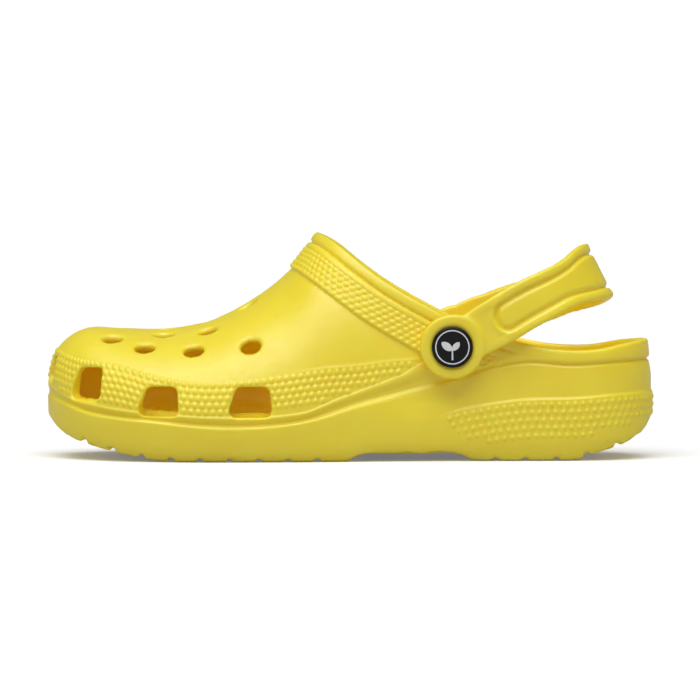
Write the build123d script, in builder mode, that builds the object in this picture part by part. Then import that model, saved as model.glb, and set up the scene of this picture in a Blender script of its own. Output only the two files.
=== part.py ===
"""Foam garden clog, left foot, with a swivelling heel strap on two snap rivets.

Frame: origin on the ground under the middle of the clog, -X to the toe, +X to the heel,
-Y to the outer (lateral) side, +Y to the inner (medial) side, +Z up. Millimetres.
"""

import math
import os

from build123d import *

# --- Driving dimensions: the foam body -------------------------------------------------
LENGTH = 286.0
TOE_X = -LENGTH / 2
HEEL_X = LENGTH / 2
WALL = 5.4  # foam wall at the sides, toe and heel
VAMP = 4.8  # foam wall over the instep
UNDERCUT = 8.0  # how far the section's lower half runs on below the tread

BALL_X = -60.0  # the widest place of the forefoot
CUP_X = 88.0  # the widest place of the heel
TOE_TIP_Y = 9.0
BALL_WIDTHS = (52.0, 52.0)  # lateral, medial
CUP_WIDTHS = (37.5, 38.5)
TOE_FULLNESS = 2.2  # exponent of the toe's outline: 2 is an ellipse, more is squarer
HEEL_FULLNESS = 2.35

# Half widths between ball and heel cup, as (x, width) knots.
LATERAL_WAIST = [(BALL_X, BALL_WIDTHS[0]), (-22, 49.0), (14, 43.5), (50, 39.0), (CUP_X, CUP_WIDTHS[0])]
MEDIAL_WAIST = [(BALL_X, BALL_WIDTHS[1]), (-22, 47.0), (14, 40.5), (50, 37.8), (CUP_X, CUP_WIDTHS[1])]
# Where the section's crest stands across the clog.
CREST_Y = [(TOE_X, TOE_TIP_Y), (-100, 12.0), (BALL_X, 12.0), (-15, 8.0), (50, 2.0), (HEEL_X, 0.5)]
# The crest's height: vamp, tongue, and on above the opening, where it is cut away.
TOE_CAP_X = -116.0
TOE_CAP_Z = 60.8
CREST_Z = [
    (TOE_CAP_X, TOE_CAP_Z), (-98, 60.1), (-80, 60.6), (-64, 64.8), (-46, 74.2),
    (-28, 88.8), (-14, 106.6), (4, 122.0), (30, 130.0), (62, 122.0), (100, 112.0), (HEEL_X, 106.0),
]
WIDEST_Z = [(TOE_X, 33.0), (-120, 29.0), (-90, 25.0), (-40, 23.0), (40, 23.0), (100, 25.0), (HEEL_X, 29.0)]
FOOTBED_Z = [(TOE_X, 25.0), (-110, 20.5), (-60, 18.5), (-10, 20.5), (40, 25.0), (90, 27.0), (HEEL_X, 31.0)]
ARCH_FULLNESS = [(TOE_X, 2.2), (-90, 2.15), (-40, 1.95), (10, 1.95), (40, 2.25), (75, 2.4), (HEEL_X, 2.4)]
SOLE_FULLNESS = 4.0
FOOTBED_FULLNESS = 3.2

# Underside: toe spring, forefoot, raised shank, heel, as (x, z).
TREAD_TOP_TOE = [
    (-150, 28), (-143, 20.5), (-138.6, 15.6), (-133, 11.4), (-124, 7.8), (-110, 4.2), (-94, 1.2), (-80, 0),
]
SHANK = [(-1, 0), (5, 3.1), (14, 3.7), (40, 3.7), (52, 2.8), (57, 0)]
TREAD_TOP_HEEL = [(103, 0), (113, 2.6), (124, 5.8), (133, 9.8), (139.5, 16.0), (143.5, 24), (148, 36)]

# Opening edge seen from the side, tongue to heel, as (x, z).
RIM_LINE = [
    (-21.0, 109.8), (-15.6, 106.6), (-9.6, 103.8), (4, 93.4), (16, 84.7), (27, 78.0), (38, 72.0),
    (49, 66.3), (60, 61.2), (71, 57.8), (84, 54.2), (96, 52.2), (107, 51.6), (118, 52.2), (128, 54.0), (138, 55.4),
    (150, 56.0),
]

# --- Driving dimensions: vents, tread --------------------------------------------------
HOLE_R = 4.75
HOLE_REACH = 9.0  # the cutter's length to each side of the surface
VENT_AXIS_Y = -1.0  # the line down the vamp that the holes are laid out about
# Pairs of vent holes, as (x, distance from that line), and the single one at the top.
HOLE_PAIRS = [(-111.5, 15.5), (-87.5, 9.5), (-67.0, 14.5), (-96.0, 26.0), (-73.0, 32.0), (-46.5, 37.0)]
TOP_HOLE_X = -48.5
# Ports on each flank, as (x on the outline, bottom z, top z, bottom width, top width).
PORTS = {
    -1: [(-124.0, 28.6, 42.8, 18.5, 12.5), (-89.5, 21.6, 34.6, 19.5, 13.4), (-46.5, 21.2, 34.6, 20.6, 14.4)],
    1: [(-110.0, 25.6, 38.8, 18.5, 12.5), (-69.5, 21.4, 34.6, 20.0, 14.0)],
}
FRONT_PORT = (35.6, 47.0, 17.0, 12.0)  # bottom z, top z, bottom width, top width
PORT_SKEW = 1.6  # how far a port's top edge stands towards the heel
PORT_CORNER = 2.6
PORT_REACH = 9.5

TREAD_GAP = 2.4
TREAD_DEPTH = 2.2
TREAD_RUNS = [(-124.0, 13.6, 9), (68.0, 14.2, 5)]  # channels of forefoot and heel, as (first x, pitch, count)

# --- Driving dimensions: strap and rivets ----------------------------------------------
PIVOT_X = 47.5
PIVOT_Z = 53.5
STRAP_REST_ANGLE = 27.0  # above horizontal
STRAP_THICK = 4.0
STRAP_REACH = 76.6  # pivot to the middle of the strap's thickness, at the back
LEG_LENGTH = 14.0  # straight part of each leg, from the pivot
LOOP_FULLNESS = 2.25
BAND_HALF = 10.4
BAND_FLARE = 3.2  # how much wider the band's half is at the back
STRAP_ROLL = 5.5  # degrees that the back of the loop leans towards the medial side
EAR_R = 15.0
EAR_THICK = 5.2
EAR_FACES = {-1: 42.0, 1: 39.6}  # from the middle plane to each ear's inner face
SEAT_R = 9.8  # recess in the ear round the rivet head
SEAT_DEPTH = 1.0
RUN_GAP = 0.3  # between strap and body
HEAD_GAP = 0.2  # between rivet and what it turns against
PAD_R = 9.6
PAD_THICK = 9.4
PAD_CLEAR = 8.0  # depth cleared inside the pad for the stud's flange

STEM_R = 3.5
STEM_CLEARANCE = 0.05
BORE_R = 2.0
HEAD_R = 9.6
HEAD_THICK = 2.4
BADGE_R = 8.7
BADGE_THICK = 0.6
PRINT_THICK = 0.15
RING_R = 8.0
RING_WIDTH = 0.55
STUD_R = 7.5
STUD_THICK = 1.8
PIN_R = 1.95
SNAP_BEAD = 0.3  # how far the pin's bead stands out


def curve_through(knots):
    """A smooth curve through (x, value) knots: cubic Hermite with averaged slopes."""

    def slope(i):
        low, high = knots[max(i - 1, 0)], knots[min(i + 1, len(knots) - 1)]
        return (high[1] - low[1]) / (high[0] - low[0])

    def value(x):
        x = min(max(x, knots[0][0]), knots[-1][0])
        i = max(k for k in range(len(knots) - 1) if knots[k][0] <= x)
        (x0, v0), (x1, v1) = knots[i], knots[i + 1]
        t, span = (x - x0) / (x1 - x0), x1 - x0
        return (
            (2 * t**3 - 3 * t**2 + 1) * v0
            + (t**3 - 2 * t**2 + t) * span * slope(i)
            + (3 * t**2 - 2 * t**3) * v1
            + (t**3 - t**2) * span * slope(i + 1)
        )

    return value


def bulge(ratio, fullness):
    """A superellipse's height at ratio of its half length, both from 0 to 1."""
    return max(0.0, 1 - min(abs(ratio), 1.0) ** fullness) ** (1 / fullness)


crest_y = curve_through(CREST_Y)
crest_z = curve_through(CREST_Z)
widest_z = curve_through(WIDEST_Z)
footbed_z = curve_through(FOOTBED_Z)
arch_fullness = curve_through(ARCH_FULLNESS)
waists = {-1: curve_through(LATERAL_WAIST), 1: curve_through(MEDIAL_WAIST)}
underside = curve_through(TREAD_TOP_TOE + SHANK + TREAD_TOP_HEEL)


def outline_y(x, side, inset=0.0):
    """The plan outline's y at x. side is -1 for lateral, 1 for medial."""
    i = 0 if side < 0 else 1
    if x < BALL_X:
        half = BALL_WIDTHS[i] - side * TOE_TIP_Y - inset
        return TOE_TIP_Y + side * half * bulge((BALL_X - x) / (BALL_X - TOE_X - inset), TOE_FULLNESS)
    if x > CUP_X:
        middle = crest_y(HEEL_X)
        half = CUP_WIDTHS[i] - side * middle - inset
        return middle + side * half * bulge((x - CUP_X) / (HEEL_X - CUP_X - inset), HEEL_FULLNESS)
    return side * (waists[side](x) - inset)


def top_z(x, inset=0.0):
    """The crest's height at x, rounded down over the toe."""
    if x > TOE_CAP_X:
        return crest_z(x) - inset
    low = widest_z(TOE_X)
    return low + (TOE_CAP_Z - inset - low) * bulge((TOE_CAP_X - x) / (TOE_CAP_X - TOE_X - inset), TOE_FULLNESS)


def section_points(x, wall=0.0, vamp=0.0, count=28):
    """One closed section across the clog: four superellipse quarters that meet at crest and flanks."""
    left, right = outline_y(x, -1, wall), outline_y(x, 1, wall)
    middle = min(max(crest_y(x), left + 0.3 * (right - left)), right - 0.3 * (right - left))
    level = widest_z(x) + (8.0 if wall else 0.0)
    low = footbed_z(x) if wall else underside(x) - UNDERCUT
    high = max(top_z(x, vamp), level + 3)
    points = []
    for k in range(count):
        turn = 2 * math.pi * (k + 0.5) / count
        across, up = math.sin(turn), -math.cos(turn)
        fullness = arch_fullness(x) if up > 0 else (FOOTBED_FULLNESS if wall else SOLE_FULLNESS)
        half = right - middle if across > 0 else middle - left
        height = high - level if up > 0 else level - low
        y = middle + math.copysign(half * abs(across) ** (2 / fullness), across)
        z = level + math.copysign(height * abs(up) ** (2 / fullness), up)
        points.append((y, z))
    return points


def stations(inset):
    """The x of every section, closer together towards toe and heel."""
    tips = (87, 81, 73, 63, 50, 36, 20)
    toe = [BALL_X - (BALL_X - TOE_X - inset) * math.sin(math.radians(a)) for a in tips]
    heel = [CUP_X + (HEEL_X - CUP_X - inset) * math.sin(math.radians(a)) for a in reversed(tips)]
    return toe + [BALL_X, -44, -30, -16, -4, 10, 28, 48, 68, CUP_X] + heel


def flank_point(x, side, z):
    """The y of the outer surface above the widest line, at x and height z."""
    level, middle = widest_z(x), crest_y(x)
    half = abs(outline_y(x, side) - middle)
    return middle + side * half * bulge((z - level) / (top_z(x) - level), arch_fullness(x))


def vamp_point(x, y):
    """The outer surface's height over (x, y)."""
    level, middle = widest_z(x), crest_y(x)
    half = abs(outline_y(x, 1 if y > middle else -1) - middle)
    return level + (top_z(x) - level) * bulge((y - middle) / half, arch_fullness(x))


def vamp_plane(x, y):
    """A plane that lies on the vamp at (x, y), facing out."""
    step = 1.0
    z = vamp_point(x, y)
    along = Vector(2 * step, 0, vamp_point(x + step, y) - vamp_point(x - step, y))
    across = Vector(0, 2 * step, vamp_point(x, y + step) - vamp_point(x, y - step))
    return Plane(origin=(x, y, z), x_dir=along, z_dir=along.cross(across))


def port_plane(x, side, z):
    """An upright plane on the flank at x, facing out along the outline's normal."""
    step = 2.0
    run = outline_y(x + step, side) - outline_y(x - step, side)
    out = Vector(-side * run, side * 2 * step, 0)
    return Plane(origin=(x, flank_point(x, side, z), z), x_dir=Vector(0, 0, 1).cross(out), z_dir=out)


def port_sketch(plane, size, skew):
    """A port's rounded trapezoid, as (bottom z, top z, bottom width, top width), on its plane."""
    low, high, foot, head = size
    half = (high - low) / 2
    with BuildSketch(plane) as port:
        with BuildLine():
            Polyline(
                (-foot / 2, -half), (foot / 2, -half), (head / 2 + skew, half), (-head / 2 + skew, half), close=True
            )
        make_face()
        fillet(port.vertices(), PORT_CORNER)
    return port.sketch


# --- The foam body ----------------------------------------------------------------------
with BuildPart() as clog_body:
    # Full form of the clog, as high as an ankle.
    for x in stations(0):
        with BuildSketch(Plane.YZ.offset(x)):
            with BuildLine():
                Spline(*section_points(x), periodic=True)
            make_face()
    loft()

    # Foot cavity.
    for x in stations(WALL):
        with BuildSketch(Plane.YZ.offset(x)):
            with BuildLine():
                Spline(*section_points(x, WALL, VAMP), periodic=True)
            make_face()
    loft(mode=Mode.SUBTRACT)

    # Rivet pads: flat outside and inside the wall, and clear for the stud's flange inside.
    for side, face in EAR_FACES.items():
        with BuildSketch(Plane.XZ.offset(-side * (face - RUN_GAP))):
            with Locations((PIVOT_X, PIVOT_Z)):
                Circle(PAD_R)
        extrude(amount=side * PAD_THICK)
        with BuildSketch(Plane.XZ.offset(-side * (face - RUN_GAP - PAD_THICK))):
            with Locations((PIVOT_X, PIVOT_Z)):
                Circle(PAD_R - 0.6)
        extrude(amount=side * PAD_CLEAR, mode=Mode.SUBTRACT)
        with BuildSketch(Plane.XZ.offset(-side * (face + 1))):
            with Locations((PIVOT_X, PIVOT_Z)):
                Circle(STEM_R + STEM_CLEARANCE)
        extrude(amount=side * (PAD_THICK + 3), mode=Mode.SUBTRACT)

    # Opening: all above the rim line goes.
    with BuildSketch(Plane.XZ):
        with BuildLine():
            Spline(*RIM_LINE)
            Polyline(RIM_LINE[-1], (RIM_LINE[-1][0], 150), (-45, 150), RIM_LINE[0])
        make_face()
    extrude(amount=80, both=True, mode=Mode.SUBTRACT)

    # Underside: toe spring, flat forefoot, raised shank, flat heel.
    with BuildSketch(Plane.XZ):
        with BuildLine():
            Spline(*TREAD_TOP_TOE, tangents=((1, -1), (1, 0)))
            Line(TREAD_TOP_TOE[-1], SHANK[0])
            Spline(*SHANK)
            Line(SHANK[-1], TREAD_TOP_HEEL[0])
            Spline(*TREAD_TOP_HEEL, tangents=((1, 0), (1, 1.6)))
            Polyline(TREAD_TOP_HEEL[-1], (TREAD_TOP_HEEL[-1][0], -30), (TREAD_TOP_TOE[0][0], -30), TREAD_TOP_TOE[0])
        make_face()
    extrude(amount=80, both=True, mode=Mode.SUBTRACT)

    # Vent holes over the vamp.
    spots = [(TOP_HOLE_X, VENT_AXIS_Y)]
    spots += [(x, VENT_AXIS_Y + side * away) for x, away in HOLE_PAIRS for side in (-1, 1)]
    for x, y in spots:
        with BuildSketch(vamp_plane(x, y)):
            Circle(HOLE_R)
        extrude(amount=HOLE_REACH, both=True, mode=Mode.SUBTRACT)

    # Ports round the toe.
    for side, ports in PORTS.items():
        for x, low, high, foot, head in ports:
            port = port_sketch(port_plane(x, side, (low + high) / 2), (low, high, foot, head), -side * PORT_SKEW)
            extrude(port, amount=PORT_REACH, both=True, mode=Mode.SUBTRACT)
    front = Plane(origin=(TOE_X, VENT_AXIS_Y, sum(FRONT_PORT[:2]) / 2), x_dir=(0, -1, 0), z_dir=(-1, 0, 0))
    extrude(port_sketch(front, FRONT_PORT, 0), amount=PORT_REACH, both=True, mode=Mode.SUBTRACT)

    # Tread channels across the forefoot and the heel.
    for first, pitch, count in TREAD_RUNS:
        for x in [first + k * pitch for k in range(count)]:
            with BuildSketch(Plane.XZ):
                with Locations((x, underside(x) + TREAD_DEPTH - 6)):
                    Rectangle(TREAD_GAP, 12)
            extrude(amount=80, both=True, mode=Mode.SUBTRACT)


# --- The heel strap ---------------------------------------------------------------------
rest = math.radians(STRAP_REST_ANGLE)
STRAP_U = Vector(math.cos(rest), 0, math.sin(rest))  # from the pivot to the back of the loop
STRAP_W = Vector(-math.sin(rest), 0, math.cos(rest))  # across the band
PIVOT = Vector(PIVOT_X, 0, PIVOT_Z)
loop_middle = (EAR_FACES[1] - EAR_FACES[-1]) / 2
loop_half = (EAR_FACES[1] + EAR_FACES[-1] + STRAP_THICK) / 2


def ease(t):
    """0 to 1, level at both ends."""
    t = min(max(t, 0.0), 1.0)
    return t * t * (3 - 2 * t)


def loop_point(turn):
    """The band's middle at turn degrees round the loop: 0 is the lateral leg, 90 the back, 180 the medial leg."""
    across, along = -math.cos(math.radians(turn)), math.sin(math.radians(turn))
    u = LEG_LENGTH + (STRAP_REACH - LEG_LENGTH) * max(along, 0) ** (2 / LOOP_FULLNESS)
    v = math.copysign(loop_half * abs(across) ** (2 / LOOP_FULLNESS), across)
    return u, v


def band_section(u, v, run_u, run_v):
    """One section of the band, at (u, v) of the loop, square to its run there."""
    roll = math.tan(math.radians(STRAP_ROLL * ease((u - 15) / 60)))
    half = BAND_HALF + BAND_FLARE * ease((u - 56) / (STRAP_REACH - 56))
    origin = PIVOT + STRAP_U * u + Vector(0, loop_middle + v, 0) - STRAP_W * (roll * v)
    run = STRAP_U * run_u + Vector(0, run_v, 0)
    with BuildSketch(Plane(origin=origin, x_dir=STRAP_W, z_dir=run)) as section:
        Rectangle(2 * half, STRAP_THICK)
    return section.sketch


with BuildPart() as heel_strap:
    sections = [band_section(u, -loop_half, 1, 0) for u in (3.0, 9.0)]
    for k in range(17):
        turn = 180 * k / 16
        before, after = loop_point(turn - 0.5), loop_point(turn + 0.5)
        run = (after[0] - before[0], after[1] - before[1])
        if k in (0, 16):
            run = (1 if k == 0 else -1, 0)
        sections.append(band_section(*loop_point(turn), *run))
    sections += [band_section(u, loop_half, -1, 0) for u in (9.0, 3.0)]
    loft(sections)
    for side, face in EAR_FACES.items():
        with BuildSketch(Plane.XZ.offset(-side * face)):
            with Locations((PIVOT_X, PIVOT_Z)):
                Circle(EAR_R)
        extrude(amount=-side * EAR_THICK)
    for side, face in EAR_FACES.items():
        with BuildSketch(Plane.XZ.offset(-side * (face + EAR_THICK - SEAT_DEPTH))):
            with Locations((PIVOT_X, PIVOT_Z)):
                Circle(SEAT_R)
        extrude(amount=-side * 3 * SEAT_DEPTH, mode=Mode.SUBTRACT)
        with BuildSketch(Plane.XZ.offset(-side * (face - 1))):
            with Locations((PIVOT_X, PIVOT_Z)):
                Circle(STEM_R + STEM_CLEARANCE)
        extrude(amount=-side * (EAR_THICK + 2), mode=Mode.SUBTRACT)


# --- The rivets -------------------------------------------------------------------------
def turned(side, outline):
    """A solid of revolution on the pivot axis, from (radius, distance from the middle plane) points."""
    with BuildPart() as made:
        with BuildSketch(Plane(origin=PIVOT, x_dir=(1, 0, 0), z_dir=(0, 0, 1))):
            with BuildLine():
                Polyline(*[(r, side * d) for r, d in outline], close=True)
            make_face()
        revolve(axis=Axis(PIVOT, (0, 1, 0)))
    return made.part


def rivet_cap(side):
    """The outer half: a dished head on a hollow stem."""
    under = EAR_FACES[side] + EAR_THICK - SEAT_DEPTH + HEAD_GAP
    top, end = under + HEAD_THICK, EAR_FACES[side] - RUN_GAP - PAD_THICK - HEAD_GAP
    dish, groove = top - BADGE_THICK - PRINT_THICK, end + 7.0
    return turned(side, [
        (0, under), (0, dish), (BADGE_R + 0.05, dish), (BADGE_R + 0.05, top), (HEAD_R - 0.7, top),
        (HEAD_R - 0.2, top - 0.3), (HEAD_R, top - 0.9), (HEAD_R, under), (STEM_R, under), (STEM_R, end),
        (BORE_R, end), (BORE_R, groove - 0.8), (BORE_R + SNAP_BEAD, groove - 0.4),
        (BORE_R + SNAP_BEAD, groove + 0.8), (BORE_R, groove + 1.2), (BORE_R, under - 1),  (0, under - 1),
    ])


def rivet_stud(side):
    """The inner half: a flange inside the clog with a pin that snaps into the stem."""
    face = EAR_FACES[side] - RUN_GAP - PAD_THICK - HEAD_GAP
    bead = face + 7.0
    return turned(side, [
        (0, face - STUD_THICK), (STUD_R - 0.8, face - STUD_THICK), (STUD_R, face - STUD_THICK + 0.7),
        (STUD_R, face), (PIN_R, face), (PIN_R, bead - 0.3), (PIN_R + SNAP_BEAD, bead), (PIN_R + SNAP_BEAD, bead + 0.4),
        (PIN_R, bead + 1.0), (PIN_R - 0.5, bead + 2.6), (0, bead + 2.6),
    ])


def badge_disc(side):
    """The plain disc let into the head."""
    low = EAR_FACES[side] + EAR_THICK - SEAT_DEPTH + HEAD_GAP + HEAD_THICK - BADGE_THICK - PRINT_THICK
    return turned(side, [(0, low), (BADGE_R, low), (BADGE_R, low + BADGE_THICK), (0, low + BADGE_THICK)])


def badge_print(side):
    """A ring and a two-leaved sprout, raised on the disc."""
    low = EAR_FACES[side] + EAR_THICK - SEAT_DEPTH + HEAD_GAP + HEAD_THICK - PRINT_THICK
    face = Plane(origin=(PIVOT_X, side * low, PIVOT_Z), x_dir=(-side, 0, 0), z_dir=(0, side, 0))
    with BuildPart() as made:
        with BuildSketch(face):
            Circle(RING_R)
            Circle(RING_R - RING_WIDTH, mode=Mode.SUBTRACT)
            for lean, length in ((52, 6.4), (-40, 5.2)):
                tip = (-length * math.sin(math.radians(lean)), length * math.cos(math.radians(lean)) - 1.6)
                middle, bow = (tip[0] / 2, (tip[1] - 1.6) / 2), 0.27
                run = (tip[0], tip[1] + 1.6)
                with BuildLine():
                    ThreePointArc((0, -1.6), (middle[0] + run[1] * bow, middle[1] - run[0] * bow), tip)
                    ThreePointArc(tip, (middle[0] - run[1] * bow, middle[1] + run[0] * bow), (0, -1.6))
                make_face()
            with BuildLine():
                Polyline((-0.35, -6.0), (0.45, -6.0), (0.3, -1.4), (-0.3, -1.4), close=True)
            make_face()
        extrude(amount=PRINT_THICK)
    return made.part


# --- Output -----------------------------------------------------------------------------
pieces = {"clog_body": clog_body.part, "heel_strap": heel_strap.part}
for side, name in ((-1, "lateral"), (1, "medial")):
    pieces[f"{name}_rivet_cap"] = rivet_cap(side)
    pieces[f"{name}_rivet_stud"] = rivet_stud(side)
    pieces[f"{name}_badge_disc"] = badge_disc(side)
    pieces[f"{name}_badge_print"] = badge_print(side)

os.makedirs("parts", exist_ok=True)
for name, piece in pieces.items():
    piece.label = name
    export_step(piece, f"parts/{name}.step")
    print(name, round(piece.volume), "mm3,", "valid" if piece.is_valid else "not valid", piece.bounding_box())
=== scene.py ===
"""Looks for the foam garden clog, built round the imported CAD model.

The frame is the CAD's: -X toe, +X heel, -Y lateral side, +Y medial side, +Z up, origin on the ground
under the middle of the clog. Blender works in metres; the forms and the relief are in millimetres.
"""

import math

import bmesh
import bpy
import numpy as np
import openvdb
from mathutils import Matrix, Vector, kdtree


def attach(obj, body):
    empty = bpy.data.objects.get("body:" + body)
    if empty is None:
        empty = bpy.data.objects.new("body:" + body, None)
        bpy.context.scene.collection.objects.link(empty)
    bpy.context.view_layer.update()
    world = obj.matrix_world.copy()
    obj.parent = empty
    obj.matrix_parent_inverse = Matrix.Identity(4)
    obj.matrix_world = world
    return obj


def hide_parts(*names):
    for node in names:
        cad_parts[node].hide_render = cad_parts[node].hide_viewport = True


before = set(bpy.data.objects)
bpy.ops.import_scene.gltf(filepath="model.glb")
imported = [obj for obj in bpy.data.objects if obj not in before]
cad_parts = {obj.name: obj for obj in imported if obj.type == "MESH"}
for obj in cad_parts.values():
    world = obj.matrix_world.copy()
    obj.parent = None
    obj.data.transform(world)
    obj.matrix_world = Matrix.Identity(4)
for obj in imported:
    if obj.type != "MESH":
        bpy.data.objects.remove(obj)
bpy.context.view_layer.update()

MM = 1000.0
COARSE = 0.85  # mm, quad size over the foam body before the relief is refined
BAND_CELL = 0.6  # mm, quad size over the strap

# --- The clog's outer form, as the CAD has it ------------------------------------------
TOE_X, HEEL_X = -143.0, 143.0
BALL_X, CUP_X = -60.0, 88.0  # widest places of forefoot and heel
TOE_TIP_Y, HEEL_MIDDLE_Y = 9.0, 0.5
SHANK_X = 37.0  # the flank's nubs end ahead of it, the heel's start behind
BALL_WIDTHS, CUP_WIDTHS = (52.0, 52.0), (37.5, 38.5)  # lateral, medial
TOE_FULLNESS, HEEL_FULLNESS = 2.2, 2.35
WAISTS = {
    -1: [(BALL_X, 52.0), (-22, 49.0), (14, 43.5), (50, 39.0), (CUP_X, 37.5)],
    1: [(BALL_X, 52.0), (-22, 47.0), (14, 40.5), (50, 37.8), (CUP_X, 38.5)],
}
CREST_Y = [
    (TOE_X, TOE_TIP_Y), (-100, 12.0), (BALL_X, 12.0), (-15, 8.0), (50, 2.0), (HEEL_X, HEEL_MIDDLE_Y),
]
CREST_MARGIN = 0.3  # least share of a section's width on either side of its crest
TOE_CAP_X, TOE_CAP_Z = -116.0, 60.8
CREST_Z = [
    (TOE_CAP_X, TOE_CAP_Z), (-98, 60.1), (-80, 60.6), (-64, 64.8), (-46, 74.2),
    (-28, 88.8), (-14, 106.6), (4, 122.0), (30, 130.0), (62, 122.0), (100, 112.0), (HEEL_X, 106.0),
]
WIDEST_Z = [
    (TOE_X, 33.0), (-120, 29.0), (-90, 25.0), (-40, 23.0), (40, 23.0), (100, 25.0), (HEEL_X, 29.0),
]
ARCH_FULLNESS = [
    (TOE_X, 2.2), (-90, 2.15), (-40, 1.95), (10, 1.95), (40, 2.25), (75, 2.4), (HEEL_X, 2.4),
]
UNDER_FULLNESS, UNDER_DEPTH = 4.0, 8.0  # the section's lower half, which would close below the ground
RIM_LINE = [
    (-21.0, 109.8), (-15.6, 106.6), (-9.6, 103.8), (4, 93.4), (16, 84.7), (27, 78.0), (38, 72.0),
    (49, 66.3), (60, 61.2), (71, 57.8), (84, 54.2), (96, 52.2), (107, 51.6), (118, 52.2), (128, 54.0),
    (138, 55.4), (150, 56.0),
]
PIVOT = (47.5, 53.5)  # x, z of the strap's rivets

# --- Relief lines over the flanks, as (x, z) ---------------------------------------------
BAND_TOP = [
    (-143, 53.0), (-136.7, 50.8), (-127.8, 47.9), (-107, 45.1), (-90, 40.5), (-71, 37.7),
    (-51, 38.1), (-32, 40.5), (-12, 43.2), (5, 44.6), (15, 46.0), (32, 47.4), (60, 48.5),
]
BAND_FOOT = [
    (-143, 36.0), (-139, 33.0), (-129, 28.6), (-102, 23.7), (-56, 20.9), (-23, 22.8),
    (-5, 29.5), (14, 36.3), (25, 40.5), (34, 45.5), (60, 50.0),
]
GROOVE = [
    (-143, 30.2), (-138, 28.4), (-121, 22.7), (-93, 19.5), (-56, 16.7), (-23, 19.1), (5, 27.4),
    (37, 35.8), (64, 43.6), (83, 46.4), (103, 45.1), (122, 46.0), (139, 46.8), (143, 47.0),
]
HEEL_BAND_TOP = [(37, 20.0), (54, 24.6), (70, 27.4), (83, 28.8), (106, 29.3), (124, 30.7), (143, 31.6)]
HEEL_BAND_FOOT = [(41, 20.0), (57, 8.6), (108, 8.8), (119, 13.0), (143, 18.5)]

FLANK_NUBS = (3.4, 3.12, 1.5, 0.66)  # pitch along a row, pitch of the rows, radius, height
COLLAR_NUBS = (3.4, 2.45, 1.32, 0.6)
HEEL_NUBS = (3.67, 3.6, 1.35, 0.55)
FOOTBED_NUBS = (5.6, 4.9, 1.9, 0.6)


def smoothly(knots):
    """A smooth curve through (x, value) knots, for arrays: cubic Hermite with averaged slopes."""
    at, value = (np.array(column, float) for column in zip(*knots))
    slope = np.gradient(value)
    for i in range(len(at)):
        low, high = max(i - 1, 0), min(i + 1, len(at) - 1)
        slope[i] = (value[high] - value[low]) / (at[high] - at[low])

    def curve(x):
        x = np.clip(x, at[0], at[-1])
        i = np.clip(np.searchsorted(at, x) - 1, 0, len(at) - 2)
        span = at[i + 1] - at[i]
        t = (x - at[i]) / span
        return (
            (2 * t**3 - 3 * t**2 + 1) * value[i]
            + (t**3 - 2 * t**2 + t) * span * slope[i]
            + (3 * t**2 - 2 * t**3) * value[i + 1]
            + (t**3 - t**2) * span * slope[i + 1]
        )

    return curve


def step(low, high, t):
    """0 below low, 1 above high, smooth between."""
    t = np.clip((t - low) / (high - low), 0, 1)
    return t * t * (3 - 2 * t)


def bulge(ratio, fullness):
    """A superellipse's height at ratio of its half length, both from 0 to 1."""
    return np.maximum(0.0, 1 - np.clip(np.abs(ratio), 0, 1) ** fullness) ** (1 / fullness)


waist = {side: smoothly(knots) for side, knots in WAISTS.items()}
crest_y, crest_z, widest_z = smoothly(CREST_Y), smoothly(CREST_Z), smoothly(WIDEST_Z)
arch_fullness, rim_z = smoothly(ARCH_FULLNESS), smoothly(RIM_LINE)
band_top, band_foot, groove_z = smoothly(BAND_TOP), smoothly(BAND_FOOT), smoothly(GROOVE)
heel_top, heel_foot = smoothly(HEEL_BAND_TOP), smoothly(HEEL_BAND_FOOT)


def outline_y(x, side):
    """The plan outline's y at x, on the side -1 (lateral) or 1 (medial)."""
    i = 0 if side < 0 else 1
    ball_half, cup_half = BALL_WIDTHS[i] - side * TOE_TIP_Y, CUP_WIDTHS[i] - side * HEEL_MIDDLE_Y
    toe = TOE_TIP_Y + side * ball_half * bulge((BALL_X - x) / (BALL_X - TOE_X), TOE_FULLNESS)
    heel = HEEL_MIDDLE_Y + side * cup_half * bulge((x - CUP_X) / (HEEL_X - CUP_X), HEEL_FULLNESS)
    return np.where(x < BALL_X, toe, np.where(x > CUP_X, heel, side * waist[side](x)))


def top_z(x):
    """The crest's height at x."""
    low = WIDEST_Z[0][1]
    cap = low + (TOE_CAP_Z - low) * bulge((TOE_CAP_X - x) / (TOE_CAP_X - TOE_X), TOE_FULLNESS)
    return np.where(x > TOE_CAP_X, crest_z(x), cap)


def section_middle(x):
    """The y of the section's crest."""
    left, right = outline_y(x, -1), outline_y(x, 1)
    margin = CREST_MARGIN * (right - left)
    return np.clip(crest_y(x), left + margin, right - margin)


def flank_y(x, side, z):
    """The outer surface's y at x and height z, above the widest line."""
    level, middle = widest_z(x), section_middle(x)
    half = np.abs(outline_y(x, side) - middle)
    return middle + side * half * bulge((z - level) / (top_z(x) - level), arch_fullness(x))


def skin_ratio(p):
    """How far out a point is in its section: 1 on the outer skin, less inside."""
    x, y, z = p.T
    middle, level = section_middle(x), widest_z(x)
    side = np.where(y < middle, -1, 1)
    half = np.abs(np.where(side < 0, outline_y(x, -1), outline_y(x, 1)) - middle)
    up = z > level
    n = np.where(up, arch_fullness(x), UNDER_FULLNESS)
    height = np.where(up, top_z(x) - level, level + UNDER_DEPTH)
    across = np.abs(y - middle) / np.maximum(half, 1.0)
    tall = np.abs(z - level) / np.maximum(height, 1.0)
    return (across**n + tall**n) ** (1 / n)


END_SAMPLES, WAIST_SAMPLES = 160, 200  # points along one side of the outline
TOE_BLEND, HEEL_BLEND = (-132, -118), (126, 136)  # x where the ends' measures and the sides' meet


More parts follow.
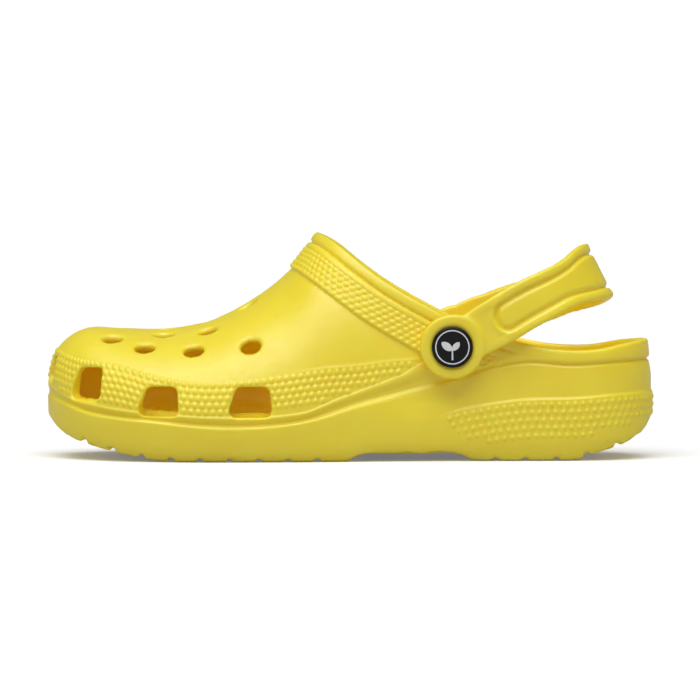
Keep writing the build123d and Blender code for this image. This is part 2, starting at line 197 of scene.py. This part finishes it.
def run_round(p):
    """Distance round the outline, from the toe's tip ahead of the shank and the heel's middle behind."""
    x, y, _ = p.T
    fine = np.concatenate([
        BALL_X - (BALL_X - TOE_X) * np.cos(np.linspace(0, math.pi / 2, END_SAMPLES)),
        np.linspace(BALL_X + 0.5, CUP_X, WAIST_SAMPLES),
        CUP_X + (HEEL_X - CUP_X) * np.sin(np.linspace(0.01, math.pi / 2, END_SAMPLES)),
    ])
    heel_edge, toe_edge = slice(len(fine) - END_SAMPLES, None), slice(END_SAMPLES)
    run = np.zeros(len(p))
    for side in (-1, 1):
        edge = outline_y(fine, side)
        length = np.concatenate([[0], np.cumsum(np.hypot(np.diff(fine), np.diff(edge)))])
        here = (y - np.where(x < 0, TOE_TIP_Y, HEEL_MIDDLE_Y)) * side > 0
        # Round the ends, y places a point on the outline better than x does.
        toe_away, heel_away = np.abs(edge[toe_edge] - TOE_TIP_Y), np.abs(edge[heel_edge] - HEEL_MIDDLE_Y)
        toe = np.interp(np.abs(y - TOE_TIP_Y), toe_away, length[toe_edge])
        heel = np.interp(-np.abs(y - HEEL_MIDDLE_Y), -heel_away, length[heel_edge])
        along = np.interp(x, fine, length)
        toe_share = 1 - step(*TOE_BLEND, x)
        heel_share = step(*HEEL_BLEND, x)
        value = along * (1 - toe_share - heel_share) + toe * toe_share + heel * heel_share
        run = np.where(here, np.where(x < SHANK_X, value, length[-1] - value), run)
    return run


# --- Meshes from the CAD's solids ---------------------------------------------------------
def node_mesh(name):
    """A CAD node's points, in millimetres, and its triangles."""
    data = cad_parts[name].data
    data.calc_loop_triangles()
    points = np.empty(len(data.vertices) * 3, np.float32)
    data.vertices.foreach_get("co", points)
    triangles = np.empty(len(data.loop_triangles) * 3, np.int32)
    data.loop_triangles.foreach_get("vertices", triangles)
    return points.reshape(-1, 3) * MM, triangles.reshape(-1, 3).astype(np.uint32)


FIELD_REACH = 5  # cells that the distance field spans on each side of the surface


def moulded(name, cell, passes):
    """Quads over a CAD node with its edges rounded, from its distance field blurred a little."""
    points, triangles = node_mesh(name)
    grid = openvdb.FloatGrid.createLevelSetFromPolygons(
        points, triangles=triangles, transform=openvdb.createLinearTransform(cell), halfWidth=FIELD_REACH
    )
    low = np.floor(points.min(0) / cell).astype(int) - FIELD_REACH
    shape = np.ceil(points.max(0) / cell).astype(int) + FIELD_REACH - low
    field = np.empty(shape, np.float32)
    corner = tuple(int(i) for i in low)
    grid.copyToArray(field, ijk=corner)
    for _ in range(passes):
        for axis in range(3):
            field = (np.roll(field, 1, axis) + 2 * field + np.roll(field, -1, axis)) / 4
    soft = openvdb.FloatGrid(float(field.max()))
    soft.transform = openvdb.createLinearTransform(cell)
    soft.copyFromArray(field, ijk=corner)
    return soft.convertToQuads()


def mesh_of(name, points, quads):
    """A mesh datablock in metres, its faces turned outward."""
    data = bpy.data.meshes.new(name)
    data.from_pydata((points / MM).tolist(), [], quads.tolist())
    form = bmesh.new()
    form.from_mesh(data)
    bmesh.ops.recalc_face_normals(form, faces=form.faces)
    form.to_mesh(data)
    form.free()
    return data


def refine(data, wanted):
    """Splits the faces whose centres, in millimetres, wanted() picks, each into four."""
    centres = np.empty(len(data.polygons) * 3)
    data.polygons.foreach_get("center", centres)
    chosen = wanted(centres.reshape(-1, 3) * MM)
    form = bmesh.new()
    form.from_mesh(data)
    form.faces.ensure_lookup_table()
    edges = {e for i in np.flatnonzero(chosen) for e in form.faces[i].edges}
    bmesh.ops.subdivide_edges(form, edges=list(edges), cuts=1, use_grid_fill=True)
    form.to_mesh(data)
    form.free()


def arrays_of(data):
    """A mesh's points in millimetres and its unit normals."""
    points, normals = np.empty(len(data.vertices) * 3), np.empty(len(data.vertices) * 3)
    data.vertices.foreach_get("co", points)
    data.vertex_normals.foreach_get("vector", normals)
    return points.reshape(-1, 3) * MM, normals.reshape(-1, 3)


def even_out(data, chosen, rounds):
    """Relaxes the chosen vertices towards their neighbours, to take the quads' steps out of an edge."""
    form = bmesh.new()
    form.from_mesh(data)
    form.verts.ensure_lookup_table()
    loose = [form.verts[i] for i in np.flatnonzero(chosen)]
    for _ in range(rounds):
        bmesh.ops.smooth_vert(
            form, verts=loose, factor=0.5, use_axis_x=True, use_axis_y=True, use_axis_z=True
        )
    form.to_mesh(data)
    form.free()


def place(data, points):
    """Moves a mesh's vertices to points, in millimetres, and shades it smooth."""
    data.vertices.foreach_set("co", (points / MM).astype(np.float32).ravel())
    data.polygons.foreach_set("use_smooth", np.ones(len(data.polygons), bool))
    data.update()


# --- Relief on the body -------------------------------------------------------------------
# Distances and heights are in millimetres. Along the collar they are measured from the rim.
BEAD = 5.3  # far edge of the bead along the opening
BAND = 9.4  # far edge of the smooth band beside it
COLLAR = 21.8  # far edge of the collar's nubs
BEAD_OVERHANG = 1.2  # how far the bead starts before the rim's outer edge
COLLAR_TALL, BEAD_TALL, BAND_TALL = 0.75, 1.1, 0.6
CUT_DEPTH, CUT_HALF = 0.75, 0.65  # between the bead and the band
DIP_DEPTH, DIP_RUN = 0.45, 2.5  # in the vamp past the collar
COLLAR_DOWN, COLLAR_FRONT_X = 31, -34  # how far below the rim, and how far forward, it can reach
RIM_HEEL_X = 130  # the rim's points go by angle behind it

FRONT_NUBS_END = (31, 35)  # x over which the flank's nubs stop
FLANK_INSET = 0.3  # from the band's top to the first row
LINE_TALL, LINE_HALF, LINE_START = 0.3, 0.9, (-34, -8)  # the fine line along the band's top
# Height against the way down from the band's foot (0) to the groove (1) and past it.
COVE = [
    (-0.1, 0), (0.02, 0.5), (0.2, 0.55), (0.42, 0), (0.7, -1.1), (0.95, -1.25), (1.18, 0.15),
    (1.4, 0.5), (3.4, 0),
]
COVE_END = (34, 60)  # x over which it fades towards the heel
TOE_FADE, TOE_FADE_FROM, TOE_FADE_TO = 0.6, -128, -140  # and it is shallower round the toe

HEEL_GROOVE_DEPTH, HEEL_GROOVE_HALF = 0.9, 0.85
BLOCK_TALL, BLOCK_START = 0.8, (34, 66)
HEEL_NUBS_START = (40, 44)

HEEL_ROLL_START = (66, 84)  # x over which the collar turns into the heel's roll
HOLLOW_DEPTH, HOLLOW_AT, HOLLOW_SPREAD = 1.9, (36, 30), (19, 7)  # in the shank, as (x, z)
# The toe's top front is fuller than the CAD's.
TOE_CROWN, TOE_CROWN_FROM, TOE_CROWN_TO, TOE_CROWN_Z = 0.7, -112, -126, (40, 52)
HOLE_CLEAR = (0.1, 1.5)  # the relief fades this near the holes' edges
RIVET_CLEAR = (12.0, 14.6)  # and this near the rivets' axis
END_DEEP = (-9, -5)  # up to the toe's or heel's tip, where the mesh's normals take over
END_FACING = (0.4, 0.7)  # and for faces that look that way

VENT_Z = (46, 50)  # the vents are above it, the toe's ports below
VENT_SQUASH, PORT_WIDEN = 0.95, 0.4
EDGE_BAND, EDGE_ROUNDS = 1.3, 5  # the strip of holes' edges that is evened out, and how often
RIM_DROP, RIM_DROP_WIDTH, RIM_DROP_END = 1.0, (5, 11), (50, 75)
HEEL_LEAN, HEEL_LEAN_Z, HEEL_LEAN_X = 2.2, (38, 54), 96
HEEL_TUCK, HEEL_TUCK_X = 0.8, 120  # all of the heel's back moves forward by this
TREAD_PITCH, TREAD_DEPTH, TREAD_EDGE = 7.5, 0.9, (0.17, 0.11)  # edge in shares of the pitch
TREAD_WAVE, TREAD_WAVE_RUN = 1.6, 4.0
TREAD_Z, FOOTBED_Z = 12, 40
FOOTBED_CORNER, FOOTBED_WIDTH = (200, 60), 120  # puts the footbed wholly inside the rows of nubs


def rim_points():
    """The rim's outer edge as one closed run of points, from the tongue down the lateral side."""
    tongue = np.linspace(-18, -12, 2000)
    tip = tongue[np.argmax(rim_z(tongue) < top_z(tongue))]
    # Closer together at the tongue's tip, where the rim crosses the crest.
    x = np.concatenate([
        tip + (RIM_HEEL_X - tip) * np.linspace(0, 1, 900) ** 2,
        RIM_HEEL_X + (HEEL_X - RIM_HEEL_X) * np.sin(np.linspace(0.02, math.pi / 2, 120)),
    ])
    z = rim_z(x)
    sides = [np.stack([x, flank_y(x, side, z), z], 1) for side in (-1, 1)]
    return np.concatenate([sides[0], sides[1][::-1]])


def nearest(p, targets):
    """Each point's distance from the nearest of targets, and that one's index."""
    tree = kdtree.KDTree(len(targets))
    for i, target in enumerate(targets):
        tree.insert(target, i)
    tree.balance()
    found = [tree.find(point)[1:] for point in p]
    return np.array([f[1] for f in found]), np.array([f[0] for f in found])


def nubs(along, across, depth, size):
    """Rounded nubs in staggered rows.

    across is the distance from the first row's edge, and depth is all the rows' width.
    """
    pitch, row_pitch, radius, tall = size
    rows = np.floor(depth / row_pitch)
    row = np.floor(across / row_pitch)
    height = np.zeros(len(along))
    for near in (row - 1, row, row + 1):
        shifted = along / pitch + 0.5 * (near % 2)
        beside = (shifted - np.round(shifted)) * pitch
        above = across - (near + 0.5) * row_pitch
        reach = np.clip(np.hypot(beside, above) / radius, 0, 1)
        dome = tall * (1 - reach**2) ** 0.85
        height = np.maximum(height, np.where((near >= 0) & (near < rows), dome, 0.0))
    return height


def roll(t):
    """A rounded roll's height across its width, t from 0 to 1."""
    return np.where((t > 0) & (t < 1), bulge(2 * np.clip(t, 0, 1) - 1, 2.2), 0.0)


def ridge(distance, half):
    """A soft ridge's height, by the distance from its middle line."""
    return np.exp(-((distance / half) ** 2))


def relief_zone(p):
    """Where the body's faces are refined: the collar, the flank's bands and the heel's."""
    x, _, z = p.T
    skin = (skin_ratio(p) > 0.94) | (x < TOE_X + 6) | (x > HEEL_X - 6)
    collar = (x > COLLAR_FRONT_X) & (z > np.maximum(rim_z(x) - COLLAR_DOWN, groove_z(x) - 3))
    flank = (z > groove_z(x) - 4) & (z < band_top(x) + 3) & (x < 62)
    heel = (x > 34) & (z > heel_foot(x) - 3) & (z < heel_top(x) + 3)
    return skin & (collar | flank | heel)


def outward(p):
    """The direction in which the section's form grows, at each point."""
    slope = np.zeros_like(p)
    for axis in range(3):
        shift = np.zeros(3)
        shift[axis] = 0.5
        slope[:, axis] = skin_ratio(p + shift) - skin_ratio(p - shift)
    return slope / np.maximum(np.linalg.norm(slope, axis=1), 1e-9)[:, None]


def collar_relief(from_rim, round_rim):
    """The collar: a bead along the opening, a smooth band, rows of nubs, and a step down to the vamp."""
    level = COLLAR_TALL * step(0, 0.7, COLLAR - from_rim)
    bead = BEAD_TALL * roll((from_rim + BEAD_OVERHANG) / (BEAD + BEAD_OVERHANG))
    band = BAND_TALL * roll((from_rim - BEAD) / (BAND - BEAD))
    cut = CUT_DEPTH * ridge(from_rim - BEAD, CUT_HALF)
    dots = nubs(round_rim, from_rim - BAND, COLLAR - BAND, COLLAR_NUBS)
    past = from_rim - COLLAR
    dip = DIP_DEPTH * np.exp(-np.maximum(past, 0) / DIP_RUN) * (past > 0)
    return level + bead + band - cut + dots - dip


def flank_relief(x, z, round_clog):
    """Rows of nubs under a fine line, then a lip, a cove, and the sole's rounded top edge."""
    drop, depth = band_top(x) - z, band_top(x) - band_foot(x)
    front = 1 - step(*FRONT_NUBS_END, x)
    height = front * nubs(round_clog, drop - FLANK_INSET, depth - FLANK_INSET, FLANK_NUBS)
    height += LINE_TALL * front * step(*LINE_START, x) * ridge(drop, LINE_HALF)
    way_down = (band_foot(x) - z) / np.maximum(band_foot(x) - groove_z(x), 2.0)
    cove = np.interp(way_down, *zip(*COVE))
    return height + cove * (1 - step(*COVE_END, x)) * (1 - TOE_FADE * step(TOE_FADE_FROM, TOE_FADE_TO, x))


def heel_relief(x, z, round_clog):
    """A groove under the rim's roll, and a block that stands proud below, with rows of nubs."""
    groove = HEEL_GROOVE_DEPTH * ridge(z - groove_z(x) + 0.3, HEEL_GROOVE_HALF)
    drop, depth = heel_top(x) - z, heel_top(x) - heel_foot(x)
    block = BLOCK_TALL * step(*BLOCK_START, x) * step(-0.9, 0.7, drop) * step(1, 12, z)
    dots = step(*HEEL_NUBS_START, x) * nubs(round_clog, drop - 1.0, depth - 0.6, HEEL_NUBS)
    return block - groove * step(*COVE_END, x) + dots


def rim_roll(x, z):
    """The roll that the heel's rim ends in, above the groove."""
    above = z - groove_z(x)
    return roll(above / np.maximum(rim_z(x) + 1.2 - groove_z(x), 4.0)) * (above > 0)


def clear_of_holes(p, ratio, facing, from_rim):
    """Each point's distance from the nearest hole's wall."""
    wall = (ratio > 0.88) & (ratio < 1.01) & (facing < 0.5) & (p[:, 2] > 20) & (from_rim > 7)
    return nearest(p, p[wall])[0]


def skin_frame(p, normals):
    """How far out each point is in its section, and the way outward there.

    At the toe's and heel's very ends the sections shrink to nothing, and the mesh's normals serve.
    """
    x = p[:, 0]
    tip = step(*END_DEEP, x - HEEL_X) * step(*END_FACING, normals[:, 0])
    tip += step(*END_DEEP, TOE_X - x) * step(*END_FACING, -normals[:, 0])
    out = outward(p) * (1 - tip)[:, None] + normals * tip[:, None]
    return skin_ratio(p) * (1 - tip) + tip, out


def body_relief(p, normals):
    """Where each point of the body moves to, and which points are on the holes' edges."""
    x, y, z = p.T
    ratio, out = skin_frame(p, normals)
    facing = np.einsum("ij,ij->i", normals, out)
    rim = rim_points()
    run = np.concatenate([[0], np.cumsum(np.linalg.norm(np.diff(rim, axis=0), axis=1))])
    from_rim, index = nearest(p, rim)
    round_clog = run_round(p)
    on_skin = step(0.93, 0.965, ratio) * step(0.25, 0.7, facing)
    heel_part = step(*HEEL_ROLL_START, x)

    above_groove = step(-0.3, 0.8, z - groove_z(x))
    height = collar_relief(from_rim, run[index]) * above_groove * (x > -40) * (1 - heel_part)
    height += heel_part * rim_roll(x, z)
    height += flank_relief(x, z, round_clog) * step(0, 0.8, from_rim - COLLAR)
    height += heel_relief(x, z, round_clog)
    hollow_x, hollow_z = (x - HOLLOW_AT[0]) / HOLLOW_SPREAD[0], (z - HOLLOW_AT[1]) / HOLLOW_SPREAD[1]
    height -= HOLLOW_DEPTH * np.exp(-(hollow_x**2) - hollow_z**2)

    # The relief stops at the holes' edges and round the rivets, where the strap's ears turn.
    from_hole = clear_of_holes(p, ratio, facing, from_rim)
    height *= step(*HOLE_CLEAR, from_hole)
    height *= step(*RIVET_CLEAR, np.hypot(x - PIVOT[0], z - PIVOT[1]))
    height += TOE_CROWN * step(TOE_CROWN_FROM, TOE_CROWN_TO, x) * step(*TOE_CROWN_Z, z) * (ratio > 0.9)
    moved = p + out * (height * on_skin)[:, None]

    # The vents are flattened bores, and the toe's ports are a little wider.
    vent = step(*VENT_Z, z)
    bored = step(0.8, 0.3, facing) * (ratio > 0.86) * (ratio < 1.02) * (z > 20) * step(5, 8, from_rim)
    squash = (VENT_SQUASH * (1 - normals[:, 0] ** 2) * vent - PORT_WIDEN * (1 - vent)) * bored
    moved += normals * squash[:, None]
    # The rim is lower along the collar, and the heel's back leans forward.
    near_rim = (1 - step(*RIM_DROP_WIDTH, from_rim)) * (x > -40)
    moved[:, 2] -= RIM_DROP * near_rim * (1 - step(*RIM_DROP_END, x))
    moved[:, 0] -= HEEL_LEAN * step(*HEEL_LEAN_Z, z) * step(HEEL_LEAN_X, HEEL_X, x)
    moved[:, 0] -= HEEL_TUCK * step(HEEL_TUCK_X, HEEL_X, x)
    # Wavy grooves along the tread's blocks.
    wave = (y + TREAD_WAVE * np.sin(x / TREAD_WAVE_RUN)) / TREAD_PITCH
    groove = step(*TREAD_EDGE, np.abs(wave - np.round(wave)))
    moved[:, 2] += TREAD_DEPTH * groove * (normals[:, 2] < -0.6) * (ratio < 0.97) * (z < TREAD_Z)
    # Nubs over the footbed.
    bed = (normals[:, 2] > 0.9) & (ratio < 0.9) & (z < FOOTBED_Z)
    along, across = x + FOOTBED_CORNER[0], y + FOOTBED_CORNER[1]
    moved[:, 2] += bed * step(0.9, 0.8, ratio) * nubs(along, across, FOOTBED_WIDTH, FOOTBED_NUBS)
    return moved, (from_hole < EDGE_BAND) & (ratio > 0.88) & (z > 24)


def clog_body():
    """The foam body: the CAD's solid with rounded edges and its moulded relief."""
    data = mesh_of("foam_body", *moulded("clog_body", COARSE, 1))
    refine(data, relief_zone)
    moved, hole_edges = body_relief(*arrays_of(data))
    place(data, moved)
    even_out(data, hole_edges, EDGE_ROUNDS)
    return data


# --- The strap ----------------------------------------------------------------------------
REST = math.radians(27.0)  # the band's slope
EAR_MIDDLE_Y = -1.2
STRAP_REACH = 76.6  # from the pivot to the band's back
BAND_HALF, BAND_FLARE = 10.4, 3.2
STRAP_ROLL = math.radians(5.5)  # the twist that brings the top edge outward
BAND_START, FLARE_START = (14, 30), 56  # along the band, from the pivot
PANEL_START, PANEL_INSET = 25.6, 6.2
PANEL_TALL, PANEL_GROOVE, PANEL_GROOVE_HALF = 0.3, 1.4, 0.95
LIP_TALL, LIP_HALF, LIP_OUT = 0.45, 1.2, 3.4  # round the panel's start
EDGE_TALL, EDGE_LESS, EDGE_LESS_FROM, EDGE_WIDTH = 0.75, 0.25, (50, 66), 5.0  # flatter at the back
EDGE_PLUMP = 0.35
# How far the top edge is lifted, against the way along the band: the near half and the far one.
NEAR_LIFT = [(4, 0), (12, 0.6), (19, 1.2), (30, 1.1), (44, 0.8), (56, 0), (66, -1.0), (75, 0)]
FAR_LIFT = [
    (-4, 0), (0, -0.4), (5, 0.6), (8, 1.7), (12, 3.4), (19, 2.9), (25, 1.6), (44, 0.8), (60, 0),
]
BAND_DROP, BAND_DROP_FROM = 1.0, (34, 56)


def strap_relief(p, normals):
    """Where each point of the strap moves to: rolls along its edges, and a raised panel between."""
    x, y, z = p.T
    along = (x - PIVOT[0]) * math.cos(REST) + (z - PIVOT[1]) * math.sin(REST)
    across = (z - PIVOT[1]) * math.cos(REST) - (x - PIVOT[0]) * math.sin(REST)
    middle = -np.tan(STRAP_ROLL * step(15, 75, along)) * (y - EAR_MIDDLE_Y)
    half = BAND_HALF + BAND_FLARE * step(FLARE_START, STRAP_REACH, along)
    w = across - middle
    panel_half = half - PANEL_INSET
    # Distance outside the panel, whose start is a half circle.
    start = PANEL_START + panel_half
    outside = np.where(along < start, np.hypot(along - start, w), np.abs(w)) - panel_half
    height = PANEL_TALL * step(0.6, -1.2, outside) - PANEL_GROOVE * ridge(outside - 1.3, PANEL_GROOVE_HALF)
    height += LIP_TALL * ridge(outside - LIP_OUT, LIP_HALF) * (1 - step(start - 4, start + 4, along))
    edge = (np.abs(w) - (half - 3.9) + 0.1) / EDGE_WIDTH
    height += (EDGE_TALL - EDGE_LESS * step(*EDGE_LESS_FROM, along)) * roll(edge) * step(*BAND_START, along)
    out = normals[:, 1] * np.sign(y - EAR_MIDDLE_Y) + normals[:, 0] * math.cos(REST) * (along > 60)
    moved = p + normals * (height * step(0.15, 0.5, out))[:, None]
    # The edges are thicker than the blurred solid's.
    plump = EDGE_PLUMP * step(half - 2.5, half, np.abs(w)) * step(*BAND_START, along)
    moved += normals * plump[:, None]
    # The ears run into the band's top edge, which is straight up to the flare, the far half's higher.
    far = step(0, 26, y)
    lift = np.interp(along, *zip(*NEAR_LIFT)) * (1 - far) + np.interp(along, *zip(*FAR_LIFT)) * far
    lift = lift * step(-3, 6, w) - BAND_DROP * step(*BAND_DROP_FROM, along)
    moved[:, 0] -= lift * math.sin(REST)
    moved[:, 2] += lift * math.cos(REST)
    return moved


def heel_strap():
    """The strap: the CAD's solid with rounded edges, rolls and a panel."""
    data = mesh_of("foam_strap", *moulded("heel_strap", BAND_CELL, 3))
    place(data, strap_relief(*arrays_of(data)))
    return data


# --- Materials ----------------------------------------------------------------------------
def material(name, colour, roughness):
    """A new material, its node tree and its shader."""
    made = bpy.data.materials.new(name)
    made.use_nodes = True
    shader = made.node_tree.nodes["Principled BSDF"]
    shader.inputs["Base Color"].default_value = (*colour, 1)
    shader.inputs["Roughness"].default_value = roughness
    return made, made.node_tree, shader


def noise(tree, scale, detail=2):
    """Noise over the object's own coordinates."""
    where = tree.nodes.new("ShaderNodeTexCoord")
    made = tree.nodes.new("ShaderNodeTexNoise")
    made.inputs["Scale"].default_value, made.inputs["Detail"].default_value = scale, detail
    tree.links.new(where.outputs["Object"], made.inputs["Vector"])
    return made.outputs["Fac"]


def ramp(tree, value, low, high, at=(0.3, 0.7)):
    """A value turned into a colour between two."""
    made = tree.nodes.new("ShaderNodeValToRGB")
    ends = made.color_ramp.elements
    ends[0].position, ends[1].position = at
    ends[0].color, ends[1].color = (*low, 1), (*high, 1)
    tree.links.new(value, made.inputs["Fac"])
    return made.outputs["Color"]


def bumped(tree, shader, height, strength, distance):
    """Gives a shader a fine relief from a height, distance deep in metres."""
    made = tree.nodes.new("ShaderNodeBump")
    made.inputs["Strength"].default_value, made.inputs["Distance"].default_value = strength, distance
    tree.links.new(height, made.inputs["Height"])
    tree.links.new(made.outputs["Normal"], shader.inputs["Normal"])


def foam():
    """Moulded foam: a matt skin, a little translucent, with faint mottling and a fine grain."""
    made, tree, shader = material("yellow_foam", (0.94, 0.78, 0.03), 0.45)
    tint = ramp(tree, noise(tree, 55), (0.955, 0.76, 0.018), (0.975, 0.79, 0.028))
    tree.links.new(tint, shader.inputs["Base Color"])
    sheen = ramp(tree, noise(tree, 300), (0.40,) * 3, (0.50,) * 3)
    tree.links.new(sheen, shader.inputs["Roughness"])
    shader.inputs["Subsurface Weight"].default_value = 0.45
    shader.inputs["Subsurface Radius"].default_value = (1.0, 0.5, 0.06)
    shader.inputs["Subsurface Scale"].default_value = 0.005
    shader.inputs["Specular IOR Level"].default_value = 0.9
    bumped(tree, shader, noise(tree, 1500, 3), 0.15, 0.0002)
    return made


def satin(name, dark, light, roughness):
    """Moulded plastic: two close tones in patches, and a fine grain."""
    made, tree, shader = material(name, dark, roughness)
    shader.inputs["Specular IOR Level"].default_value = 0.25
    tree.links.new(ramp(tree, noise(tree, 160), dark, light), shader.inputs["Base Color"])
    low, high = roughness - 0.05, roughness + 0.07
    tree.links.new(ramp(tree, noise(tree, 420), (low,) * 3, (high,) * 3), shader.inputs["Roughness"])
    bumped(tree, shader, noise(tree, 900, 3), 0.12, 0.0001)
    return made


def dress(surface, *nodes):
    """Gives CAD nodes a surface of their own."""
    for name in nodes:
        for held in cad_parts[name].material_slots:
            held.material = surface


def shown(data, surface):
    """A mesh as an object in the scene, with a surface."""
    piece = bpy.data.objects.new(data.name, data)
    data.materials.append(surface)
    bpy.context.scene.collection.objects.link(piece)
    return piece


yellow = foam()
body = shown(clog_body(), yellow)
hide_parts("clog_body")
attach(body, "clog")

strap = shown(heel_strap(), yellow)
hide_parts("heel_strap")
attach(strap, "strap")

black = satin("black_plastic", (0.006, 0.006, 0.007), (0.010, 0.010, 0.011), 0.36)
enamel = satin("black_enamel", (0.004, 0.004, 0.005), (0.007, 0.007, 0.008), 0.3)
print_grey = satin("print_grey", (0.70, 0.71, 0.72), (0.78, 0.79, 0.80), 0.5)
for side in ("lateral", "medial"):
    dress(black, f"{side}_rivet_cap", f"{side}_rivet_stud")
    dress(enamel, f"{side}_badge_disc")
    dress(print_grey, f"{side}_badge_print")

# --- Floor, light, camera -----------------------------------------------------------------
bpy.context.scene.view_settings.view_transform = "Standard"
# With fewer bounces the insides of the ports and the opening lose their glow.
bpy.context.scene.cycles.diffuse_bounces = 12
bpy.context.scene.cycles.max_bounces = 16

FLOOR_HALF, FLOOR_Z = 30, -0.0002  # just under the tread
SQUARE = [(-1, -1), (1, -1), (1, 1), (-1, 1)]
corners = [(across * FLOOR_HALF, back * FLOOR_HALF, FLOOR_Z) for across, back in SQUARE]
floor_data = bpy.data.meshes.new("floor")
floor_data.from_pydata(corners, [], [(0, 1, 2, 3)])
floor = bpy.data.objects.new("floor", floor_data)
bpy.context.scene.collection.objects.link(floor)
floor_material, floor_tree, floor_shader = material("pale_floor", (0.96, 0.965, 0.98), 0.9)
# The floor is white to look at and throws back less light than that, as a masked studio sweep does.
grey = floor_tree.nodes.new("ShaderNodeBsdfDiffuse")
grey.inputs["Color"].default_value = (0.56, 0.56, 0.58, 1)
seen = floor_tree.nodes.new("ShaderNodeLightPath")
chosen = floor_tree.nodes.new("ShaderNodeMixShader")
floor_tree.links.new(seen.outputs["Is Camera Ray"], chosen.inputs["Fac"])
floor_tree.links.new(grey.outputs["BSDF"], chosen.inputs[1])
floor_tree.links.new(floor_shader.outputs["BSDF"], chosen.inputs[2])
floor_tree.links.new(chosen.outputs["Shader"], floor_tree.nodes["Material Output"].inputs["Surface"])
floor_shader.inputs["Emission Color"].default_value = (1, 1, 1, 1)
floor_shader.inputs["Emission Strength"].default_value = 0.17
floor_data.materials.append(floor_material)

world = bpy.data.worlds.new("studio")
bpy.context.scene.world = world
world.use_nodes = True
sky = world.node_tree
direction = sky.nodes.new("ShaderNodeTexCoord")
parts = sky.nodes.new("ShaderNodeSeparateXYZ")
sky.links.new(direction.outputs["Generated"], parts.inputs["Vector"])
glow = sky.nodes.new("ShaderNodeMapRange")  # white round the horizon, dimmer overhead
glow.inputs["From Min"].default_value, glow.inputs["From Max"].default_value = 0.04, 0.09
glow.inputs["To Min"].default_value, glow.inputs["To Max"].default_value = 1.02, 0.20
sky.links.new(parts.outputs["Z"], glow.inputs["Value"])
sky.nodes["Background"].inputs["Color"].default_value = (1, 1, 1, 1)
sky.links.new(glow.outputs["Result"], sky.nodes["Background"].inputs["Strength"])

softbox_data = bpy.data.lights.new("softbox", "SUN")
softbox_data.angle = math.radians(60)
softbox_data.energy = 2.5
softbox = bpy.data.objects.new("softbox", softbox_data)
softbox.rotation_euler = (math.radians(24), math.radians(-5), 0)
bpy.context.scene.collection.objects.link(softbox)

DISTANCE, ELEVATION, AIM_Z = 2.6, math.radians(3.4), 0.0503
PIXELS_PER_M, NEAR_SIDE = 2150.5, 0.045  # the picture's scale at the clog's side nearest the camera
PICTURE, SENSOR = 700, 36  # pixels and millimetres across
camera_data = bpy.data.cameras.new("camera")
camera = bpy.data.objects.new("camera", camera_data)
bpy.context.scene.collection.objects.link(camera)
bpy.context.scene.camera = camera
camera.location = (0, -DISTANCE * math.cos(ELEVATION), DISTANCE * math.sin(ELEVATION))
camera.rotation_euler = (Vector((0, 0, AIM_Z)) - camera.location).to_track_quat("-Z", "Y").to_euler()
camera_data.sensor_width = SENSOR
camera_data.lens = SENSOR * PIXELS_PER_M * (DISTANCE - NEAR_SIDE) / PICTURE
camera_data.clip_end = 100
